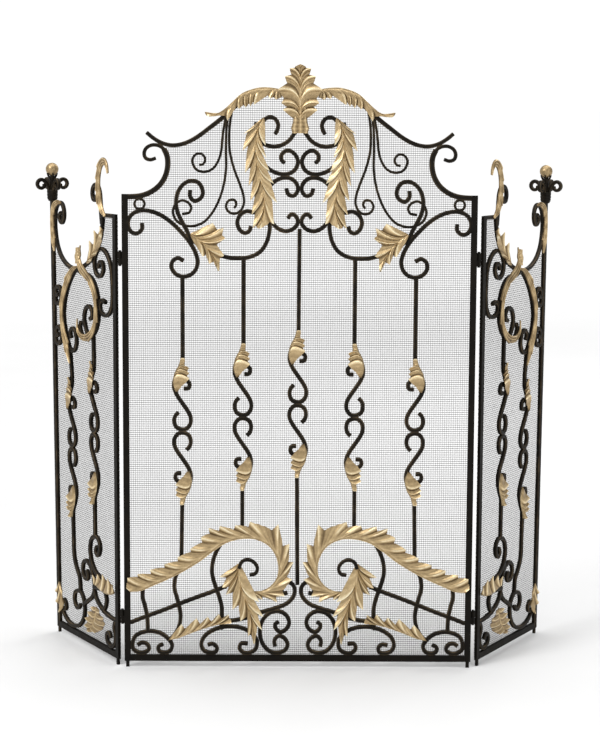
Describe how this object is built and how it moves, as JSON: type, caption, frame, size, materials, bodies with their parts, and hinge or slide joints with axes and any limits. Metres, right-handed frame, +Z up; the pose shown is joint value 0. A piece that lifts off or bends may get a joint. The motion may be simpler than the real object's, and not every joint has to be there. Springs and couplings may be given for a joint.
{
  "type": "fireplace screen",
  "caption": "Three-fold wrought-iron fireplace screen: arched mesh centre panel and two hinged wings, with iron scrolls, twisted balusters and gilded acanthus leaves.",
  "frame": {"origin": "on the floor, in the middle of the footprint of the screen with its wings folded back 60 degrees", "axes": "+X to the viewer's right along the centre panel, +Y from the front to the hearth behind, +Z up"},
  "size_m": [1.0768, 0.3204, 1.184],
  "materials": {
    "iron": "hand-forged bar with a near-black brown bronze patina, satin, worn brighter on the edges",
    "gold": "antiqued gold leaf over iron, satin, darker in the hollows and paler on the ribs",
    "wire_mesh": "dull dark steel wire, plain weave"
  },
  "bodies": {
    "centre_panel": {"post_left": "iron", "post_right": "iron", "bottom_rail": "iron", "crest": "iron", "shoulder_scrolls_left": "iron", "shoulder_scrolls_right": "iron", "crown_scrolls": "iron", "foot_scrolls": "iron", "lower_scrolls_left": "iron", "lower_scrolls_right": "iron", "baluster_1": "iron", "baluster_2": "iron", "baluster_3": "iron", "baluster_4": "iron", "baluster_5": "iron", "finial_leaf": "gold", "arch_leaf_left": "gold", "arch_leaf_right": "gold", "pendant_leaf_left": "gold", "pendant_leaf_right": "gold", "fan_leaf_left": "gold", "fan_leaf_right": "gold", "acanthus_leaf_left": "gold", "acanthus_leaf_right": "gold", "curl_leaf_left": "gold", "curl_leaf_right": "gold", "sprig_leaf_left": "gold", "sprig_leaf_right": "gold", "mesh_centre": "wire_mesh", "hinge_pin_right_upper": "iron", "hinge_pin_right_lower": "iron", "hinge_pin_left_upper": "iron", "hinge_pin_left_lower": "iron"},
    "left_wing": {"left_wing_hinge_post": "iron", "left_wing_bottom_rail": "iron", "left_wing_outer_post": "iron", "left_wing_ball": "gold", "left_wing_upper_scrolls": "iron", "left_wing_lower_scrolls": "iron", "left_wing_baluster_1": "iron", "left_wing_baluster_2": "iron", "left_wing_top_leaf": "gold", "left_wing_side_leaf": "gold", "left_wing_outer_leaf": "gold", "left_wing_hoop_leaves": "gold", "left_wing_mesh": "wire_mesh"},
    "right_wing": {"right_wing_hinge_post": "iron", "right_wing_bottom_rail": "iron", "right_wing_outer_post": "iron", "right_wing_ball": "gold", "right_wing_upper_scrolls": "iron", "right_wing_lower_scrolls": "iron", "right_wing_baluster_1": "iron", "right_wing_baluster_2": "iron", "right_wing_top_leaf": "gold", "right_wing_side_leaf": "gold", "right_wing_outer_leaf": "gold", "right_wing_hoop_leaves": "gold", "right_wing_mesh": "wire_mesh"}
  },
  "joints": [
    {"name": "right_wing_hinge", "type": "hinge", "parent": "centre_panel", "child": "right_wing", "pos_m": [0.3472, -0.14217, 0.456], "axis": [0, 0, 1], "range_deg": [-60, 90]},
    {"name": "left_wing_hinge", "type": "hinge", "parent": "centre_panel", "child": "left_wing", "pos_m": [-0.3472, -0.14217, 0.456], "axis": [0, 0, -1], "range_deg": [-60, 90]}
  ]
}
